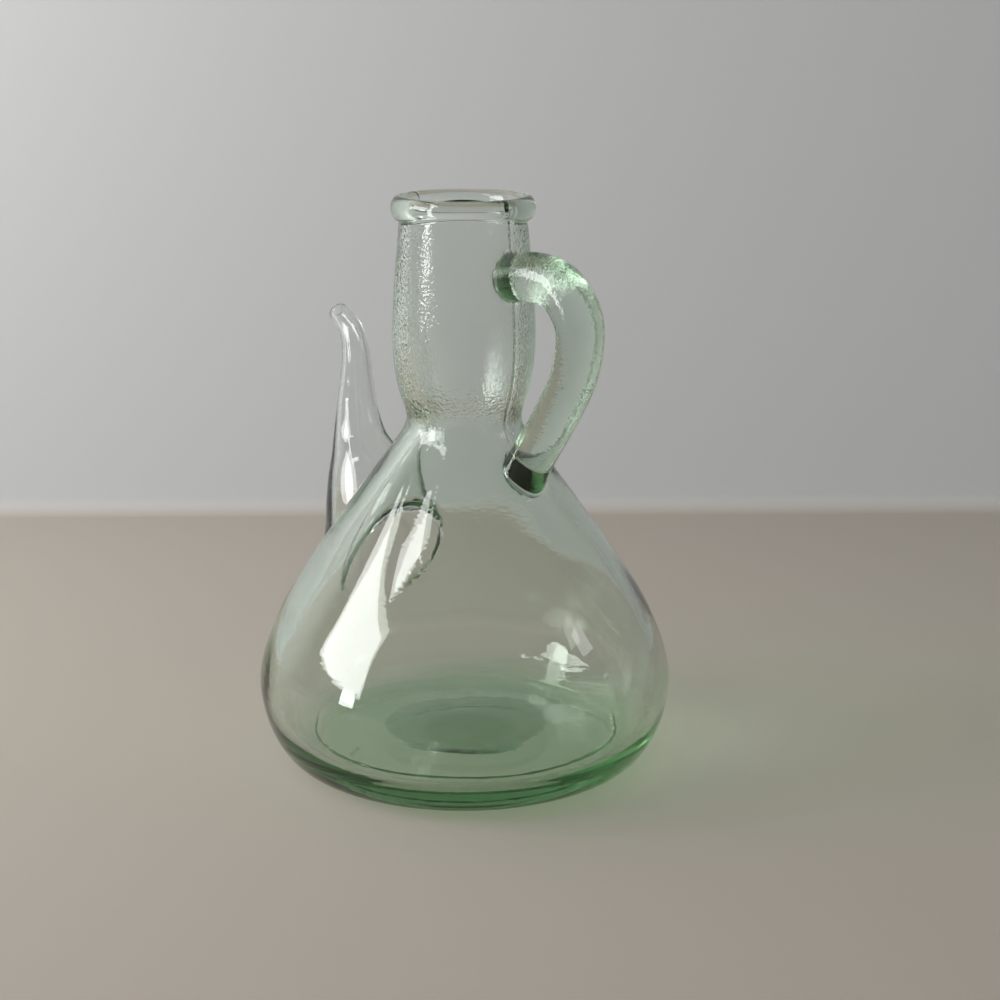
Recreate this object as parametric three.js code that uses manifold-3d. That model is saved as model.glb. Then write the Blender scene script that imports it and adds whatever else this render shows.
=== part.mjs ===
// Oil cruet of pale green glass, all one piece: a broad conical body on a heavy base,
// a barrel-shaped neck with a rolled rim, a solid rod handle and a hollow drawn spout.
// Millimetres, +Z up, standing on z = 0. The handle points to +X.
import * as THREE from 'three';
import { mergeVertices } from 'three/addons/utils/BufferGeometryUtils.js';
import Module from 'manifold-3d';

const wasm = await Module();
wasm.setup();

// Driving dimensions of the blown body
const height = 173.2;          // base to top of rim
const bellyRadius = 62.9;      // widest radius
const bellyHeight = 26.4;      // height of the widest ring
const footRadius = 41.2;       // outer edge of the flat that it stands on
const recessRadius = 22;       // shallow flat hollow under the base
const recessDepth = 0.6;
const floorHeight = 9.5;       // inside floor over the table
const floorRadius = 47.2;      // edge of the flat part of the inside floor
const humpRadius = 25.5;       // low flat rise in the middle of the inside floor
const humpHeight = 0.9;
const mouthRadius = 16.1;      // bore through the rim
const rimHeight = 6.6;         // rolled rim
const rimBulge = 2.4;          // how far the rim stands out from the neck

// Roundness of the heel outside and of the corner inside, as superellipse powers
const heelPower = { across: 2.78, up: 1.72 };
const cornerPower = { across: 2.4, up: 2 };

// Outer wall and inner wall as [height, radius], from the belly to the rim
const rimFoot = height - rimHeight;
const neckTopRadius = 18.9;
const outerWall = [
  [bellyHeight, bellyRadius], [45, 57.6], [60, 49.1], [90, 28.2], [100, 20.8], [104, 18.2],
  [108, 17.3], [112, 18.3], [116, 19.6], [124, 21], [134, 21.4], [148, 20.6], [rimFoot, neckTopRadius],
];
const innerWall = [
  [bellyHeight, 57.9], [45, 52.3], [60, 43.7], [90, 22.7], [100, 15.5], [104, 13.4],
  [108, 12.8], [112, 13.9], [116, 15.4], [124, 17], [134, 17.4], [148, 16.8], [rimFoot, mouthRadius],
];

// Handle and spout as [reach from the axis, height, radius of the rod or horn]
const handleStations = [
  [16.5, 150.4, 7.0], [22, 151, 7.1], [30, 151.8, 7.3], [39, 149.9, 7.2], [45.6, 142.8, 7.1], [47, 135, 6.9],
  [44, 123.5, 6.7], [37, 111.5, 6.5], [29, 99.8, 6.6], [25.4, 94, 7.2], [22, 88.5, 8],
];
const spoutStations = [
  [42, 40, 19.5], [50, 58, 19.4], [55.8, 69, 15.9], [60.2, 80, 12.6], [64.2, 89, 8.9], [65.7, 98, 6.8],
  [65.8, 108, 5.4], [66.2, 117.5, 4.4], [69.2, 124, 3.9], [77.7, 128.9, 3.1],
];
const spoutTurn = 12;          // degrees by which the spout misses the point opposite the handle
const spoutWallAtRoot = 2.4;
const spoutWallAtTip = 1.3;
const spoutBoreLean = 1.5;     // how far the bore lies nearer to the axis than the horn at its root

// Fineness of the facets
const sides = 44;
const rodSides = 12;
const rodSteps = 24;
const wallBands = [[96, 8], [120, 8], [rimFoot, 5]];

// Radius at a height, on a smooth curve through the stations that starts upright
function radiusAt(stations, z) {
  const last = stations.length - 1;
  let i = 0;
  while (i < last - 1 && z > stations[i + 1][0]) {
    i += 1;
  }
  const slopeAt = (k) => {
    if (k === 0) {
      return 0;
    }
    const before = stations[k - 1];
    const after = stations[Math.min(k + 1, last)];
    return (after[1] - before[1]) / (after[0] - before[0]);
  };
  const [z0, r0] = stations[i];
  const [z1, r1] = stations[i + 1];
  const span = z1 - z0;
  const t = (z - z0) / span;
  const blend = t * t * (3 - 2 * t);
  const swing = t * (1 - t) * span * ((1 - t) * slopeAt(i) - t * slopeAt(i + 1));
  return r0 + (r1 - r0) * blend + swing;
}

// Quarter of a superellipse from the lower point, where it lies flat, to the upper, where it is upright
function heelPoints(lowRadius, lowHeight, highRadius, highHeight, power, steps) {
  const points = [];
  for (let i = 0; i < steps; i += 1) {
    const angle = (Math.PI / 2) * (i / steps);
    const across = Math.sin(angle) ** (2 / power.across);
    const up = 1 - Math.cos(angle) ** (2 / power.up);
    points.push([lowRadius + (highRadius - lowRadius) * across, lowHeight + (highHeight - lowHeight) * up]);
  }
  return points;
}

function wallPoints(stations) {
  const points = [];
  let from = stations[0][0];
  for (const [to, steps] of wallBands) {
    for (let i = 0; i < steps; i += 1) {
      const z = from + ((to - from) * i) / steps;
      points.push([radiusAt(stations, z), z]);
    }
    from = to;
  }
  return points;
}

// Low flat-topped rise of a given radius and height, from its middle to just inside its edge
function risePoints(radius, base, rise, steps) {
  const points = [];
  for (let i = 0; i < steps; i += 1) {
    const share = i / steps;
    points.push([radius * share, base + rise * (1 - share ** 6)]);
  }
  return points;
}

// Half of the rolled rim, from its foot on the neck over the top to the bore
function rimPoints(steps) {
  const outerRadius = neckTopRadius + rimBulge;
  const middleRadius = (outerRadius + mouthRadius) / 2;
  const points = [];
  for (let i = 0; i <= steps; i += 1) {
    const angle = THREE.MathUtils.lerp(-0.36 * Math.PI, Math.PI, i / steps);
    const radius = middleRadius + (outerRadius - middleRadius) * Math.cos(angle);
    points.push([radius, rimFoot + (rimHeight / 2) * (1 + Math.sin(angle))]);
  }
  return points;
}

// Closed solid from a three.js geometry whose shared corners are merged
function solidFrom(geometry) {
  geometry.deleteAttribute('normal');
  geometry.deleteAttribute('uv');
  const merged = mergeVertices(geometry, 1e-4);
  const corners = merged.index.array;
  const kept = [];
  for (let i = 0; i < corners.length; i += 3) {
    const [a, b, c] = [corners[i], corners[i + 1], corners[i + 2]];
    if (a !== b && b !== c && c !== a) {
      kept.push(a, b, c);
    }
  }
  return new wasm.Manifold(new wasm.Mesh({
    numProp: 3,
    vertProperties: new Float32Array(merged.attributes.position.array),
    triVerts: new Uint32Array(kept),
  }));
}

// Solid turned round the axis from [radius, height] points that start and end on it
function turned(profile) {
  const points = profile.map(([radius, z]) => new THREE.Vector2(radius, z));
  const geometry = new THREE.LatheGeometry(points, sides);
  geometry.rotateX(Math.PI / 2);
  return solidFrom(geometry);
}

// Round rod whose thickness follows its stations: a cylinder bent along the curve in the XZ plane
function rodAlong(stations) {
  const route = new THREE.CatmullRomCurve3(stations.map((station) => new THREE.Vector3(...station)));
  const geometry = new THREE.CylinderGeometry(1, 1, 1, rodSides, rodSteps);
  const place = geometry.attributes.position;
  const across = new THREE.Vector3(0, -1, 0);
  for (let i = 0; i < place.count; i += 1) {
    const t = place.getY(i) + 0.5;
    const station = route.getPoint(t);
    const ahead = route.getTangent(t);
    const outward = new THREE.Vector3(ahead.y, 0, -ahead.x).normalize();
    const point = new THREE.Vector3(station.x, 0, station.y);
    point.addScaledVector(outward, station.z * place.getX(i));
    point.addScaledVector(across, station.z * place.getZ(i));
    place.setXYZ(i, point.x, point.y, point.z);
  }
  return solidFrom(geometry);
}

// Bore of the spout: its stations with the wall taken off, run on past the open tip
function boreStations() {
  const last = spoutStations.length - 1;
  const bore = spoutStations.map(([reach, z, radius], i) => {
    const share = Math.min(1, i / 5);
    const wall = THREE.MathUtils.lerp(spoutWallAtRoot, spoutWallAtTip, share);
    return [reach - spoutBoreLean * (1 - share), z, radius - wall];
  });
  const [fromReach, fromHeight] = bore[last - 1];
  const [tipReach, tipHeight, tipRadius] = bore[last];
  const past = 0.4;
  bore.push([
    tipReach + past * (tipReach - fromReach),
    tipHeight + past * (tipHeight - fromHeight),
    tipRadius,
  ]);
  return bore;
}

function blownBody() {
  const profile = [
    ...risePoints(recessRadius, 0, recessDepth, 4),
    [recessRadius, 0],
    ...heelPoints(footRadius, 0, bellyRadius, bellyHeight, heelPower, 8),
    ...wallPoints(outerWall),
    ...rimPoints(9),
    [0, rimFoot + rimHeight / 2],
  ];
  return turned(profile);
}

function cavity() {
  const over = 10;
  const belly = innerWall[0][1];
  const profile = [
    ...risePoints(humpRadius, floorHeight, humpHeight, 4),
    [humpRadius, floorHeight],
    ...heelPoints(floorRadius, floorHeight, belly, bellyHeight, cornerPower, 6),
    ...wallPoints(innerWall),
    [mouthRadius, rimFoot],
    [mouthRadius, height + over],
    [0, height + over],
  ];
  return turned(profile);
}

function cruetSolid() {
  const spoutAngle = 180 - spoutTurn;
  const horn = rodAlong(spoutStations).rotate([0, 0, spoutAngle]);
  const bore = rodAlong(boreStations()).rotate([0, 0, spoutAngle]);
  const outside = blownBody().add(rodAlong(handleStations)).add(horn);
  return outside.subtract(cavity()).subtract(bore);
}

const paleGreenGlass = new THREE.MeshStandardMaterial({
  color: '#cfe4d6',
  roughness: 0.05,
  metalness: 0,
  transparent: true,
  opacity: 0.6,
});

const made = cruetSolid().getMesh();
const shape = new THREE.BufferGeometry();
shape.setAttribute('position', new THREE.BufferAttribute(made.vertProperties, 3));
shape.setIndex(new THREE.BufferAttribute(made.triVerts, 1));
shape.computeVertexNormals();
shape.computeBoundingBox();

// The origin is under the middle of the outline, so the body's axis stands a little to +X of it
const middle = shape.boundingBox.getCenter(new THREE.Vector3());
const cruet = new THREE.Mesh(shape, paleGreenGlass);
cruet.name = 'cruet';
cruet.position.set(-middle.x, -middle.y, 0);

const group = new THREE.Group();
group.add(cruet);

export default group;
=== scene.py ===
# Glass oil cruet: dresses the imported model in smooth, slightly wavy, pale green glass.
# Lengths in the dictionaries are millimetres; Blender works in metres.
import math

import bpy
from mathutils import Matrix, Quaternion, Vector, noise
from mathutils.bvhtree import BVHTree


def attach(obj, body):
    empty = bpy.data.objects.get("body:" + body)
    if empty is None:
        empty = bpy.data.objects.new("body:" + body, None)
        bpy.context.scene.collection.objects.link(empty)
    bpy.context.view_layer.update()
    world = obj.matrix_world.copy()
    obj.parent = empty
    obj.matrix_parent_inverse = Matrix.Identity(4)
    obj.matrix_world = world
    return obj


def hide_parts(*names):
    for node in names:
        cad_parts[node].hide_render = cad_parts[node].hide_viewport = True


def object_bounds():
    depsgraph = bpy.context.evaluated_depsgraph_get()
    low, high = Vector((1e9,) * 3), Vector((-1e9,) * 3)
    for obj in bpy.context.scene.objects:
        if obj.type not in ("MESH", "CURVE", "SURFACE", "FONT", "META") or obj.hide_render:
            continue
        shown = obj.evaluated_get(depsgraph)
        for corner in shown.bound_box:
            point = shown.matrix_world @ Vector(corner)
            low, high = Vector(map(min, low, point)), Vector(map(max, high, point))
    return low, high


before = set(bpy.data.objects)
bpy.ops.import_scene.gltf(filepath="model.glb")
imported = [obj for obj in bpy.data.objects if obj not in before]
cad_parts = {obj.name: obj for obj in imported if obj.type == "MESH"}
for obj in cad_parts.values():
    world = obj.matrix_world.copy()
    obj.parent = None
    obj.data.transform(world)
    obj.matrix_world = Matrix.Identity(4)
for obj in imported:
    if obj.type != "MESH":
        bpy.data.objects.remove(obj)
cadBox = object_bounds()
mm = 0.001
gaps = {"spun": 0.00002, "rod": 0.00001, "fused": 0.00003}   # metres; corners closer than this are merged

# Walls are listed as (height, radius) from the belly up
body = {
    "height": 173.1, "bellyRadius": 62.9, "bellyHeight": 26.4, "footRadius": 41.2,
    "recessRadius": 22, "recessDepth": 0.3, "heelAcross": 2.78, "heelUp": 1.72,
    "rimHeight": 5.8, "rimBulge": 2.4, "rimStart": -0.46, "rimUnevenness": 1.7, "rimUnevenReach": 12,
    "wall": [(26.4, 62.9), (45, 57.6), (60, 49.1), (90, 28.2), (100, 20.8), (104, 18.2), (108, 17.3),
             (112, 18.3), (116, 19.6), (124, 21), (134, 21.4), (148, 20.6), (167.3, 18.9)],
    "columns": 224, "seamCrowding": 0.6, "recessSteps": 12, "footRings": (30, 34, 38), "heelSteps": 30,
    "wallSteps": 84, "rimSteps": 22,
}
hollow = {
    "floorHeight": 9.5, "floorRadius": 47.2, "humpRadius": 25.5, "humpHeight": 0.9, "mouthRadius": 16.1,
    "ringRadius": 46, "ringHeight": 0.6, "ringHalfWidth": 1, "cornerAcross": 2.4, "cornerUp": 2,
    "wall": [(26.4, 57.9), (45, 52.3), (60, 43.7), (90, 22.7), (100, 15.5), (104, 13.4), (108, 12.8),
             (112, 13.9), (116, 15.4), (124, 17), (134, 17.4), (148, 16.8), (166, 16.1)],
    "columns": 176, "humpSteps": 14, "floorRings": (33, 38, 43), "ringSteps": 10, "cornerSteps": 20,
    "wallSteps": 76, "mouthStep": 2, "overTop": 12,
}
# Handle and spout are listed as (reach from the body's axis, height, radius)
handle = {
    "stations": [(16.5, 150.4, 7.0), (22, 151, 7.1), (30, 151.8, 7.3), (39, 149.9, 7.2), (45.6, 142.8, 7.1),
                 (47, 135, 6.9), (44, 123.5, 6.7), (37, 111.5, 6.5), (29, 99.8, 6.6), (25.4, 94, 7.2),
                 (22, 88.5, 8)],
    "steps": 110, "fillet": 0.5,
}
spout = {
    "stations": [(42, 40, 19.5), (50, 58, 19.4), (55.8, 69, 15.9), (60.2, 80, 12.6), (64.2, 89, 8.9),
                 (65.7, 98, 6.8), (65.8, 108, 5.4), (66.2, 117.5, 4.4), (69.2, 124, 3.9),
                 (77.7, 128.9, 3.1)],
    "turn": 12, "wallAtRoot": 2.4, "wallAtTip": 1.3, "boreLean": 1.5, "thinning": 1.8, "lipFlare": 0.98,
    "lipGap": 0.1, "pastTip": 2, "steps": 120, "lipSteps": 6, "fillet": 0.5, "innerFillet": 0.2,
}
rodRoundness = 22      # corners in a quarter of a rod's round
filletSearch = 6       # how many fillet sizes off the other solid is looked for
waviness = {
    "outerDepth": 0.22, "outerSize": 34, "outerFrom": 18, "innerDepth": 0.5, "innerSize": 21, "innerFrom": 12,
    "upright": 0.7, "belowRim": 2, "fadeLow": 12, "fadeHigh": 8, "seed": 11.3,
}
seam = {
    "height": 0.3, "halfWidth": 0.45, "from": 97, "to": 172, "fadeLow": 10, "fadeHigh": 3,
    "unevenness": 0.35, "unevenSize": 6,
}

# The origin is under the middle of the whole outline, so the body's axis stands a little to +X of it
axisX = cadBox[1][0] - body["bellyRadius"] * mm


def deselectAll():
    for item in bpy.context.selected_objects:
        item.select_set(False)


def activate(piece):
    deselectAll()
    piece.select_set(True)
    bpy.context.view_layer.objects.active = piece


def radiusAt(stations, z):
    # smooth curve through (height, radius) stations that starts upright
    last = len(stations) - 1
    i = 0
    while i < last - 1 and z > stations[i + 1][0]:
        i += 1

    def slopeAt(k):
        if k == 0:
            return 0
        before, after = stations[k - 1], stations[min(k + 1, last)]
        return (after[1] - before[1]) / (after[0] - before[0])

    (z0, r0), (z1, r1) = stations[i], stations[i + 1]
    span = z1 - z0
    t = (z - z0) / span
    blend = t * t * (3 - 2 * t)
    swing = t * (1 - t) * span * ((1 - t) * slopeAt(i) - t * slopeAt(i + 1))
    return r0 + (r1 - r0) * blend + swing


def heelPoints(low, high, across, up, steps):
    # quarter superellipse from low (radius, height), where it lies flat, to high, where it is upright
    points = []
    for i in range(steps):
        angle = math.pi / 2 * i / steps
        sideways = math.sin(angle) ** (2 / across)
        upwards = 1 - math.cos(angle) ** (2 / up)
        points.append((low[0] + (high[0] - low[0]) * sideways, low[1] + (high[1] - low[1]) * upwards))
    return points


def wallPoints(stations, steps):
    low, high = stations[0][0], stations[-1][0]
    heights = [low + (high - low) * i / steps for i in range(steps)]
    return [(radiusAt(stations, z), z) for z in heights]


def risePoints(radius, base, rise, steps):
    # low flat-topped rise, from its middle to just inside its edge
    shares = [math.sin(math.pi / 2 * i / steps) for i in range(steps)]
    return [(radius * share, base + rise * (1 - share ** 6)) for share in shares]


def beadPoints(radius, base, rise, halfWidth, steps):
    # small round bead on a level floor
    spots = [i / steps * 2 - 1 for i in range(steps + 1)]
    return [(radius + halfWidth * spot, base + rise * math.cos(math.pi / 2 * spot) ** 2) for spot in spots]


def rimPoints(steps):
    # rolled rim from its foot on the neck over the top to the bore; rimStart is in half turns
    foot, neckTop = body["wall"][-1]
    outer = neckTop + body["rimBulge"]
    middle = (outer + hollow["mouthRadius"]) / 2
    start = body["rimStart"]
    points = []
    for i in range(steps + 1):
        angle = start * math.pi + (1 - start) * math.pi * i / steps
        points.append((middle + (outer - middle) * math.cos(angle),
                       foot + body["rimHeight"] / 2 * (1 + math.sin(angle))))
    return points


def outsideProfile():
    # (radius, height) from the middle of the base, round the outside and the rim, back to the axis
    foot, neckTop = body["wall"][-1]
    return (risePoints(body["recessRadius"], 0, body["recessDepth"], body["recessSteps"])
            + [(body["recessRadius"], 0)] + [(ring, 0) for ring in body["footRings"]]
            + heelPoints((body["footRadius"], 0), (body["bellyRadius"], body["bellyHeight"]),
                         body["heelAcross"], body["heelUp"], body["heelSteps"])
            + wallPoints(body["wall"], body["wallSteps"]) + [(neckTop, foot)] + rimPoints(body["rimSteps"])
            + [(0, foot + body["rimHeight"] / 2)])


def hollowProfile():
    # (radius, height) from the middle of the inside floor up through the mouth and past it
    level, mouth = hollow["floorHeight"], hollow["mouthRadius"]
    foot, past = body["wall"][-1][0], body["height"] + hollow["overTop"]
    return (risePoints(hollow["humpRadius"], level, hollow["humpHeight"], hollow["humpSteps"])
            + [(hollow["humpRadius"], level)] + [(ring, level) for ring in hollow["floorRings"]]
            + beadPoints(hollow["ringRadius"], level, hollow["ringHeight"], hollow["ringHalfWidth"],
                         hollow["ringSteps"])
            + heelPoints((hollow["floorRadius"], level), hollow["wall"][0][::-1],
                         hollow["cornerAcross"], hollow["cornerUp"], hollow["cornerSteps"])
            + wallPoints(hollow["wall"], hollow["wallSteps"])
            + [(mouth, foot), (mouth, foot + hollow["mouthStep"]), (mouth, past), (0, past)])


def drawLine(name, first, steps):
    # one corner at the first place, drawn out step by step into a line; the mesh stays in edit mode
    deselectAll()
    bpy.ops.mesh.primitive_plane_add(size=mm, location=first)
    piece = bpy.context.object
    piece.name = name
    bpy.ops.object.transform_apply(location=True, rotation=True, scale=True)
    bpy.ops.object.mode_set(mode="EDIT")
    bpy.ops.mesh.select_all(action="SELECT")
    bpy.ops.mesh.merge(type="CENTER")
    for step in steps:
        bpy.ops.mesh.extrude_region_move(TRANSFORM_OT_translate={"value": step})
    bpy.ops.mesh.select_all(action="SELECT")
    return piece


def finishMesh(gap=None, outward=True):
    # merges corners closer than the gap and turns the faces outward, and leaves edit mode
    bpy.ops.mesh.select_all(action="SELECT")
    if gap is not None:
        bpy.ops.mesh.remove_doubles(threshold=gap)
    if outward:
        bpy.ops.mesh.normals_make_consistent(inside=False)
    bpy.ops.object.mode_set(mode="OBJECT")


def spinProfile(name, profile, columns):
    # the profile is drawn as a line and spun round the body's axis
    first = Vector((axisX + profile[0][0] * mm, 0, profile[0][1] * mm))
    steps = [((after[0] - before[0]) * mm, 0, (after[1] - before[1]) * mm)
             for before, after in zip(profile, profile[1:])]
    piece = drawLine(name, first, steps)
    bpy.ops.mesh.spin(steps=columns, angle=2 * math.pi, center=(axisX, 0, 0), axis=(0, 0, 1))
    finishMesh(gaps["spun"])
    return piece


def catmullRom(stations, t):
    # point, with its radius, on the smooth curve through the stations; t runs from 0 to 1
    spans = len(stations) - 1
    i = min(int(t * spans), spans - 1)
    u = t * spans - i
    p1, p2 = Vector(stations[i]), Vector(stations[i + 1])
    p0 = Vector(stations[i - 1]) if i > 0 else p1 * 2 - p2
    p3 = Vector(stations[i + 2]) if i + 2 <= spans else p2 * 2 - p1
    return ((p1 * 2) + (p2 - p0) * u + (p0 * 2 - p1 * 5 + p2 * 4 - p3) * u ** 2
            + (p1 * 3 - p0 - p2 * 3 + p3) * u ** 3) * 0.5


def rodAlong(name, rows, turn):
    # a round rod whose thickness follows its rows, made as a bevelled curve and converted to a mesh
    curve = bpy.data.curves.new(name, "CURVE")
    curve.dimensions = "3D"
    curve.bevel_depth = 1
    curve.bevel_resolution = rodRoundness
    curve.use_fill_caps = True
    spline = curve.splines.new("POLY")
    spline.points.add(len(rows) - 1)
    angle = math.radians(turn)
    for point, (reach, z, radius) in zip(spline.points, rows):
        point.co = (axisX + reach * mm * math.cos(angle), reach * mm * math.sin(angle), z * mm, 1)
        point.radius = radius * mm
    piece = bpy.data.objects.new(name, curve)
    bpy.context.scene.collection.objects.link(piece)
    activate(piece)
    bpy.ops.object.convert(target="MESH")
    piece = bpy.context.object
    bpy.ops.object.mode_set(mode="EDIT")
    finishMesh(gaps["rod"])
    return piece


def treeOf(piece):
    return BVHTree.FromObject(piece, bpy.context.evaluated_depsgraph_get())


def filletTowards(piece, tree, radius):
    # lifts the skin near another solid along a quarter round, so that both meet as melted glass does
    size = radius * mm
    meeting = size * (1 - math.sqrt(0.5))
    mesh = piece.data
    normals = [vertex.normal.copy() for vertex in mesh.vertices]
    for vertex, normal in zip(mesh.vertices, normals):
        spot, away, _, gap = tree.find_nearest(vertex.co, size * filletSearch)
        if spot is None:
            continue
        signed = gap if (vertex.co - spot).dot(away) > 0 else -gap
        if signed >= size:
            continue
        if signed > meeting:
            lift = size - math.sqrt(max(0, size ** 2 - (size - signed) ** 2))
        else:
            lift = min(size, 2 * meeting - signed)
        vertex.co += normal * lift
    mesh.update()


def weld(target, tool, operation):
    activate(target)
    modifier = target.modifiers.new("join", "BOOLEAN")
    modifier.object = tool
    modifier.operation = operation
    modifier.solver = "MANIFOLD"
    bpy.ops.object.modifier_apply(modifier=modifier.name)
    bpy.data.objects.remove(tool)


def unevenRim(piece):
    # the groove under the rolled rim rises a little in front and behind, as hot glass settles
    foot, reach = body["wall"][-1][0], body["rimUnevenReach"]
    for vertex in piece.data.vertices:
        z = vertex.co.z / mm
        share = (z - foot + reach) / reach if z < foot else (body["height"] - z) / body["rimHeight"]
        if share > 0:
            angle = math.atan2(vertex.co.y, vertex.co.x - axisX) + math.radians(studio["handleTurn"])
            vertex.co.z += share ** 2 * body["rimUnevenness"] * math.cos(2 * angle) * mm
    piece.data.update()


def crowdSeams(piece):
    # turns the columns round the axis so that they lie closer at the two mould seams
    onAxis = 0.1 * mm
    for vertex in piece.data.vertices:
        x, y = vertex.co.x - axisX, vertex.co.y
        reach = math.hypot(x, y)
        if reach > onAxis:
            angle = math.atan2(y, x)
            angle -= body["seamCrowding"] * math.sin(2 * angle) / 2
            vertex.co.x, vertex.co.y = axisX + reach * math.cos(angle), reach * math.sin(angle)
    piece.data.update()


def makeWavy(piece, side, inwardOnly):
    # sinks or lifts the outer or inner wall by a slow ripple
    depth, size, low = (waviness[side + word] for word in ("Depth", "Size", "From"))
    high = body["wall"][-1][0] - waviness["belowRim"]
    shift = Vector((waviness["seed"], 0, 0))
    mesh = piece.data
    normals = [vertex.normal.copy() for vertex in mesh.vertices]
    for vertex, normal in zip(mesh.vertices, normals):
        spot = vertex.co
        z = spot.z / mm
        fade = max(0, min(1, (z - low) / waviness["fadeLow"], (high - z) / waviness["fadeHigh"]))
        drawn = Vector((spot.x, spot.y, spot.z * waviness["upright"]))
        amount = depth * noise.noise(drawn / (size * mm) + shift)
        if inwardOnly:
            amount = -abs(amount)
        flat = Vector((normal.x, normal.y, 0))
        vertex.co += flat * amount * fade * mm
    mesh.update()


def raiseSeams(piece):
    # the thin ridge that the halves of the mould leave, in line with the handle and across from it
    for vertex in piece.data.vertices:
        z = vertex.co.z / mm
        if seam["from"] < z < seam["to"]:
            x, y = (vertex.co.x - axisX) / mm, vertex.co.y / mm
            reach = math.hypot(x, y)
            share = abs(y) / seam["halfWidth"]
            ends = min(1, (z - seam["from"]) / seam["fadeLow"], (seam["to"] - z) / seam["fadeHigh"])
            lift = seam["height"] * ends * math.exp(-share * share)
            lift *= 1 + seam["unevenness"] * noise.noise(Vector((0, 0, z / seam["unevenSize"])))
            vertex.co.x += x / reach * lift * mm
            vertex.co.y += y / reach * lift * mm
    piece.data.update()


def spoutRows(bore):
    # rows of the horn, or of the bore inside it, with a round lip at the open tip
    rows = []
    steps = spout["steps"]
    lip = spout["wallAtTip"] / 2
    for i in range(steps + 1):
        t = i / steps
        reach, z, radius = catmullRom(spout["stations"], t)
        thinned = t * spout["thinning"]
        wall = spout["wallAtRoot"] + (spout["wallAtTip"] - spout["wallAtRoot"]) * min(1, thinned)
        lean = spout["boreLean"] * max(0, 1 - thinned) if bore else 0
        rows.append((reach - lean, z, radius - wall if bore else radius))
    ahead = (Vector(rows[-1][:2]) - Vector(rows[-2][:2])).normalized()
    end = Vector(rows.pop()[:2]) - ahead * lip
    radius = rows[-1][2]
    rows = [row for row in rows if (Vector(row[:2]) - end).dot(ahead) < -spout["lipGap"]]
    for i in range(spout["lipSteps"] + 1):   # the lip closes in on the outside and opens out in the bore
        angle = math.pi / 2 * i / spout["lipSteps"]
        place = end + ahead * lip * math.sin(angle)
        change = lip * (1 - math.cos(angle))
        rows.append((place.x, place.y, radius + change * spout["lipFlare"] if bore else radius - change))
    if bore:
        place = end + ahead * (lip + spout["pastTip"])
        rows.append((place.x, place.y, rows[-1][2]))
    return rows


def makeCruet():
    skin = spinProfile("cruetGlass", outsideProfile(), body["columns"])
    crowdSeams(skin)
    makeWavy(skin, "outer", True)
    raiseSeams(skin)
    unevenRim(skin)
    print("blown skin:", len(skin.data.vertices), "corners")

    steps = handle["steps"]
    rod = rodAlong("handleRod", [catmullRom(handle["stations"], i / steps) for i in range(steps + 1)], 0)
    horn = rodAlong("spoutHorn", spoutRows(False), 180 - spout["turn"])
    skinTree, rodTree, hornTree = treeOf(skin), treeOf(rod), treeOf(horn)
    filletTowards(skin, rodTree, handle["fillet"])
    filletTowards(skin, hornTree, spout["fillet"])
    filletTowards(rod, skinTree, handle["fillet"])
    filletTowards(horn, skinTree, spout["fillet"])
    print("handle and spout drawn")

    void = spinProfile("cruetHollow", hollowProfile(), hollow["columns"])
    makeWavy(void, "inner", False)
    bore = rodAlong("spoutBore", spoutRows(True), 180 - spout["turn"])
    voidTree, boreTree = treeOf(void), treeOf(bore)
    filletTowards(void, boreTree, spout["innerFillet"])
    filletTowards(bore, voidTree, spout["innerFillet"])
    print("hollow and bore shaped")

    weld(skin, rod, "UNION")
    weld(skin, horn, "UNION")
    weld(void, bore, "UNION")
    weld(skin, void, "DIFFERENCE")
    activate(skin)
    bpy.ops.object.mode_set(mode="EDIT")
    finishMesh(gaps["fused"], outward=False)
    bpy.ops.object.shade_smooth()
    print("cruet fused:", len(skin.data.polygons), "faces")
    return skin


glass = {
    "ior": 1.52, "tint": (0.30, 0.63, 0.32), "density": 30,   # a metre takes off density x (1 - tint)
    "smooth": 0.003, "frosted": 0.05, "shadowTint": (0.93, 0.955, 0.935),
    "rippleSize": 1100, "rippleDepth": 0.000008, "rippleStretch": (0.3, 0.3, 1),
    "grainSize": 1250, "grainDepth": 0.0001, "grainStretch": (1, 1, 1),
    "grainRise": ("Z", 98, 112), "grainFall": ("Z", 163, 168), "pastSpout": ("X", -34, -24),
    # painted shade: each disc darkens the base where the shaded table under it shows through; a disc is the
    # radius where it ends and where it is full, the heights it lies between, and its colour
    "shadeDiscs": [(25.4, 24.2, 5, 17, (0.52, 0.63, 0.52)), (17.5, 11.5, -5, 5, (0.58, 0.74, 0.55))],
    "shadeDiscEdge": 0.5,
}


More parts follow.
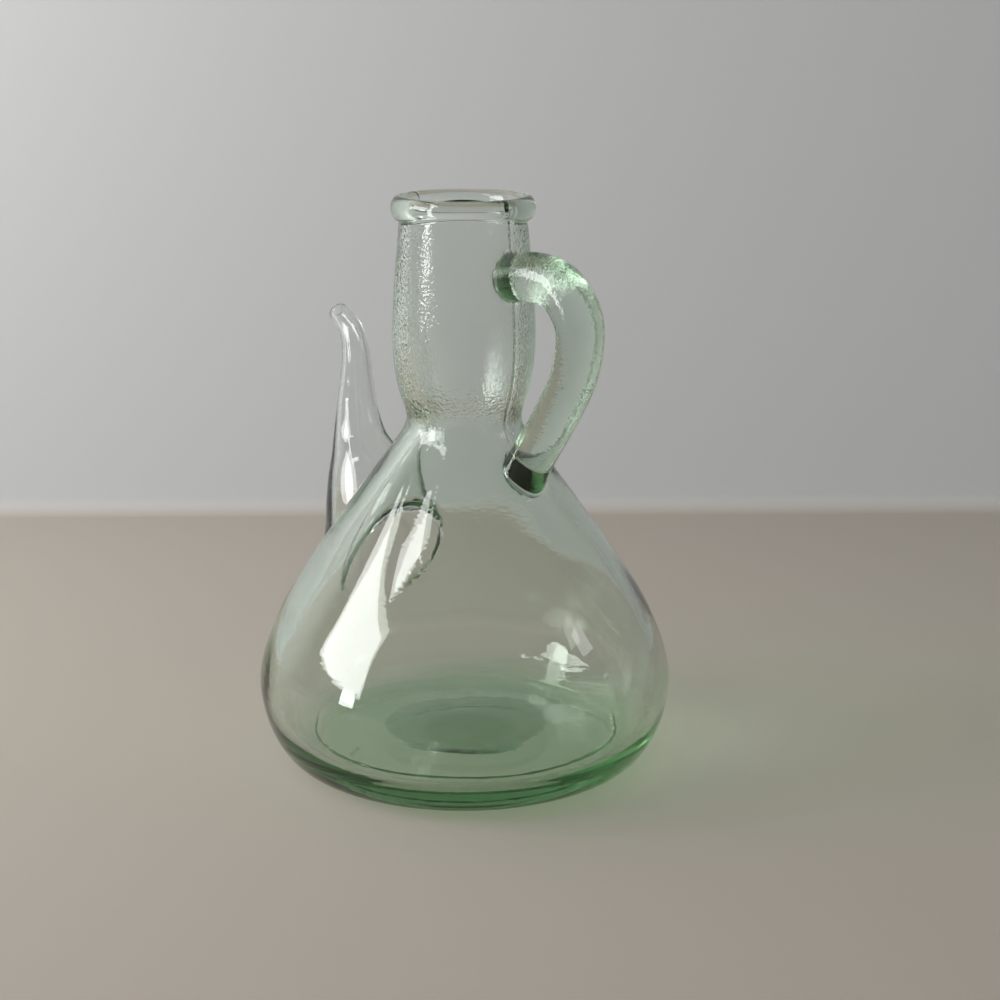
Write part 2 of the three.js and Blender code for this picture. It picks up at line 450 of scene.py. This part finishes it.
def makeGlass():
    material = bpy.data.materials.new("paleGreenGlass")
    material.use_nodes = True
    nodes, links = material.node_tree.nodes, material.node_tree.links
    shader = nodes["Principled BSDF"]
    output = nodes["Material Output"]
    shader.inputs["Base Color"].default_value = (1, 1, 1, 1)
    shader.inputs["Transmission Weight"].default_value = 1
    shader.inputs["IOR"].default_value = glass["ior"]
    inside = nodes.new("ShaderNodeVolumeAbsorption")
    inside.inputs["Color"].default_value = (*glass["tint"], 1)
    inside.inputs["Density"].default_value = glass["density"]
    links.new(inside.outputs["Volume"], output.inputs["Volume"])
    place = nodes.new("ShaderNodeTexCoord").outputs["Object"]

    def fill(node, values):   # each value is a plain one or another node's output
        for socket, value in zip(node.inputs, values):
            if isinstance(value, bpy.types.NodeSocket):
                links.new(value, socket)
            else:
                socket.default_value = value

    def maths(operation, *values):
        node = nodes.new("ShaderNodeMath")
        node.operation = operation
        fill(node, values)
        return node.outputs["Value"]

    def vectorMaths(operation, *values):
        node = nodes.new("ShaderNodeVectorMath")
        node.operation = operation
        fill(node, values)
        return node.outputs["Value" if operation == "LENGTH" else "Vector"]

    def step(value, low, high, start, end):   # smooth step between two values in millimetres
        node = nodes.new("ShaderNodeMapRange")
        node.interpolation_type = "SMOOTHSTEP"
        fill(node, (value, low * mm, high * mm, start, end))
        return node.outputs["Result"]

    def along(axis, low, high, start=0, end=1):
        split = nodes.new("ShaderNodeSeparateXYZ")
        links.new(place, split.inputs["Vector"])
        return step(split.outputs[axis], low, high, start, end)

    def noiseField(name):
        drawn = nodes.new("ShaderNodeMapping")
        drawn.inputs["Scale"].default_value = glass[name + "Stretch"]
        links.new(place, drawn.inputs["Vector"])
        field = nodes.new("ShaderNodeTexNoise")
        field.inputs["Scale"].default_value = glass[name + "Size"]
        field.inputs["Detail"].default_value = 0
        links.new(drawn.outputs["Vector"], field.inputs["Vector"])
        return maths("MULTIPLY", field.outputs["Fac"], glass[name + "Depth"])

    # painted shade: the middle of the floor is darkened to a deeper green, with a smaller and darker painted
    # mark under it, standing in for the shaded table seen through the base
    offset = vectorMaths("SUBTRACT", place, (axisX, 0, 0))
    reach = vectorMaths("LENGTH", vectorMaths("MULTIPLY", offset, (1, 1, 0)))
    shadedTone = (1, 1, 1, 1)
    edge = glass["shadeDiscEdge"]
    for end, full, low, high, color in glass["shadeDiscs"]:
        shadeMask = step(reach, full, end, 1, 0)
        level = maths("MULTIPLY", along("Z", low - edge, low + edge),
                      along("Z", high - edge, high + edge, 1, 0))
        blend = nodes.new("ShaderNodeMix")
        blend.data_type = "RGBA"
        share, first, second = blend.inputs[0], blend.inputs[6], blend.inputs[7]
        links.new(maths("MULTIPLY", shadeMask, level), share)
        if isinstance(shadedTone, bpy.types.NodeSocket):
            links.new(shadedTone, first)
        else:
            first.default_value = shadedTone
        second.default_value = (*color, 1)
        shadedTone = blend.outputs[2]
    # the base colour carries the painted shade of the discs
    links.new(shadedTone, shader.inputs["Base Color"])

    # neck and handle have a grained, fire-polished skin; cone, rim and spout are smooth
    grained = maths("MULTIPLY", along(*glass["grainRise"]), along(*glass["pastSpout"]))
    grained = maths("MULTIPLY", grained, along(*glass["grainFall"], 1, 0))
    bump = nodes.new("ShaderNodeBump")
    bump.inputs["Distance"].default_value = 1
    bump.inputs["Strength"].default_value = 1
    links.new(maths("ADD", noiseField("ripple"), maths("MULTIPLY", noiseField("grain"), grained)),
              bump.inputs["Height"])
    links.new(bump.outputs["Normal"], shader.inputs["Normal"])
    links.new(maths("MULTIPLY_ADD", grained, glass["frosted"], glass["smooth"]), shader.inputs["Roughness"])

    clear = nodes.new("ShaderNodeBsdfTransparent")   # lets the lamps reach the table through the glass
    clear.inputs["Color"].default_value = (*glass["shadowTint"], 1)
    path = nodes.new("ShaderNodeLightPath")
    mix = nodes.new("ShaderNodeMixShader")
    fill(mix, (path.outputs["Is Shadow Ray"], shader.outputs["BSDF"], clear.outputs["BSDF"]))
    links.new(mix.outputs["Shader"], output.inputs["Surface"])
    return material


studio = {
    "handleTurn": 44, "distance": 611, "eyeHeight": 235, "pitch": 14.12, "focalPixels": 2082,
    "axisPixel": 463.3, "imageWidth": 1000, "sensorWidth": 36, "clipStart": 10,
    "wallBehind": 302, "sweepRadius": 8, "sweepSteps": 12, "tableDrop": 0.25, "reach": 10000,
    "wallHeight": 2200, "tableColor": (0.42, 0.38, 0.328), "wallColor": (0.60, 0.605, 0.61),
    "colorFrom": 0.001, "colorTo": 0.006, "roughness": 0.85, "sheen": 0.2,
    "worldLight": 0.22, "worldColor": (0.95, 0.97, 1.0), "bounces": 32, "clearLayers": 10, "tableBounces": 1,
}
# Each lamp: place, what it aims at, size, radiance, turn in its own plane, and what it is hidden from
lamps = {
    "windowMain": ((-1000, -260, 565), (0, -260, 565), (680, 590), 8.0, 0, ()),
    "windowHigh": ((-1000, -620, 1330), (0, -620, 1330), (150, 700), 8.0, -31.8, ()),
    "lowSill": ((-1000, -440, 200), (0, -440, 200), (190, 140), 15.0, 0, ("diffuse",)),
    "wallWash": ((-560, 40, 420), (-150, 302, 250), (260, 260), 6.5, 0, ("glossy", "transmission")),
    "paneRight": ((1100, -210, 560), (0, -210, 560), (180, 260), 3.0, 0, ()),
}
softSky = {"from": (-500, -700, 900), "strength": 0.5, "spread": 75}


def makeCamera():
    # the handle points handleTurn degrees to the right of the way to the camera
    data = bpy.data.cameras.new("camera")
    camera = bpy.data.objects.new("camera", data)
    bpy.context.scene.collection.objects.link(camera)
    towards = math.radians(-studio["handleTurn"])
    distance = studio["distance"] * mm
    camera.location = (axisX + distance * math.cos(towards), distance * math.sin(towards),
                       studio["eyeHeight"] * mm)
    aside = math.atan((studio["imageWidth"] / 2 - studio["axisPixel"]) / studio["focalPixels"])
    camera.rotation_euler = (math.radians(90 - studio["pitch"]), 0, towards + math.pi / 2 - aside)
    data.sensor_width = studio["sensorWidth"]
    data.lens = studio["sensorWidth"] * studio["focalPixels"] / studio["imageWidth"]
    data.clip_start = studio["clipStart"] * mm
    bpy.context.scene.camera = camera


def sceneSpot(x, y, z):
    # a place given as the photograph shows it: x to the right, y away, z up, from the foot of the axis
    turn = math.radians(90 - studio["handleTurn"])
    return Vector((axisX + (x * math.cos(turn) - y * math.sin(turn)) * mm,
                   (x * math.sin(turn) + y * math.cos(turn)) * mm, z * mm))


def stageMaterial():
    # table colour up to colorFrom, wall colour from colorTo on, in metres over the table
    material = bpy.data.materials.new("paleStage")
    material.use_nodes = True
    nodes, links = material.node_tree.nodes, material.node_tree.links
    shader = nodes["Principled BSDF"]
    shader.inputs["Roughness"].default_value = studio["roughness"]
    shader.inputs["Specular IOR Level"].default_value = studio["sheen"]
    place = nodes.new("ShaderNodeTexCoord")
    split = nodes.new("ShaderNodeSeparateXYZ")
    ramp = nodes.new("ShaderNodeValToRGB")
    links.new(place.outputs["Object"], split.inputs["Vector"])
    links.new(split.outputs["Z"], ramp.inputs["Fac"])
    stops = ((studio["colorFrom"], studio["tableColor"]), (studio["colorTo"], studio["wallColor"]))
    for stop, (position, color) in zip(ramp.color_ramp.elements, stops):
        stop.position = position
        stop.color = (*color, 1)
    links.new(ramp.outputs["Color"], shader.inputs["Base Color"])
    clear = nodes.new("ShaderNodeBsdfTransparent")
    side = nodes.new("ShaderNodeNewGeometry")
    mix = nodes.new("ShaderNodeMixShader")
    links.new(side.outputs["Backfacing"], mix.inputs["Fac"])
    links.new(shader.outputs["BSDF"], mix.inputs[1])
    links.new(clear.outputs["BSDF"], mix.inputs[2])
    links.new(mix.outputs["Shader"], nodes["Material Output"].inputs["Surface"])
    return material


def makeStage():
    # pale table that turns up into a plain wall behind; the wall is clear when looked at from its back
    reach, drop = studio["reach"], studio["tableDrop"]
    radius, wall, steps = studio["sweepRadius"], studio["wallBehind"], studio["sweepSteps"]
    profile = [(-reach, -drop), (wall - radius, -drop)]
    for i in range(1, steps + 1):
        angle = math.pi / 2 * i / steps
        profile.append((wall - radius + radius * math.sin(angle), radius - radius * math.cos(angle) - drop))
    profile.append((wall, studio["wallHeight"]))
    strides = [sceneSpot(0, *after) - sceneSpot(0, *before) for before, after in zip(profile, profile[1:])]
    sweep = drawLine("tableAndWall", sceneSpot(-reach, *profile[0]), strides)
    across = sceneSpot(reach, 0, 0) - sceneSpot(-reach, 0, 0)
    bpy.ops.mesh.extrude_region_move(TRANSFORM_OT_translate={"value": across})
    finishMesh()
    if sum(face.normal.z * face.area for face in sweep.data.polygons) < 0:
        sweep.data.flip_normals()
    bpy.ops.object.shade_smooth()
    sweep.data.materials.append(stageMaterial())


def addLamp(name, data, place, aim, lean=0):
    # lean turns the lamp in its own plane
    lamp = bpy.data.objects.new(name, data)
    bpy.context.scene.collection.objects.link(lamp)
    lamp.location = place
    facing = (aim - place).to_track_quat("-Z", "Y")
    lamp.rotation_euler = (facing @ Quaternion((0, 0, 1), math.radians(lean))).to_euler()
    return lamp


def makeLights():
    world = bpy.data.worlds.new("softLight")
    bpy.context.scene.world = world
    world.use_nodes = True
    sky = world.node_tree.nodes["Background"]
    sky.inputs["Color"].default_value = (*studio["worldColor"], 1)
    sky.inputs["Strength"].default_value = studio["worldLight"]
    for name, (place, aim, size, radiance, lean, hiddenFrom) in lamps.items():
        data = bpy.data.lights.new(name, "AREA")
        data.shape = "RECTANGLE"
        data.size, data.size_y = size[0] * mm, size[1] * mm
        data.energy = radiance * math.pi * data.size * data.size_y
        lamp = addLamp(name, data, sceneSpot(*place), sceneSpot(*aim), lean)
        lamp.visible_camera = False
        for kind in hiddenFrom:
            setattr(lamp, "visible_" + kind, False)
    data = bpy.data.lights.new("softSky", "SUN")   # even light on table and wall, not mirrored in the glass
    data.energy = softSky["strength"]
    data.angle = math.radians(softSky["spread"])
    soft = addLamp("softSky", data, sceneSpot(*softSky["from"]), sceneSpot(0, 0, 0))
    soft.visible_glossy = False
    soft.visible_transmission = False


def setBounces():
    cycles = bpy.context.scene.cycles
    cycles.max_bounces = studio["bounces"]
    cycles.transmission_bounces = studio["bounces"]
    cycles.glossy_bounces = studio["bounces"]   # reflections inside the glass are counted here
    cycles.transparent_max_bounces = studio["clearLayers"]
    cycles.diffuse_bounces = studio["tableBounces"]
    cycles.use_light_tree = False


makeCamera()
makeStage()
makeLights()
setBounces()
bpy.context.scene.view_settings.view_transform = "Standard"
print("studio set")
cruet = makeCruet()
cruet.data.materials.clear()
cruet.data.materials.append(makeGlass())
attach(cruet, "root")
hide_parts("cruet")
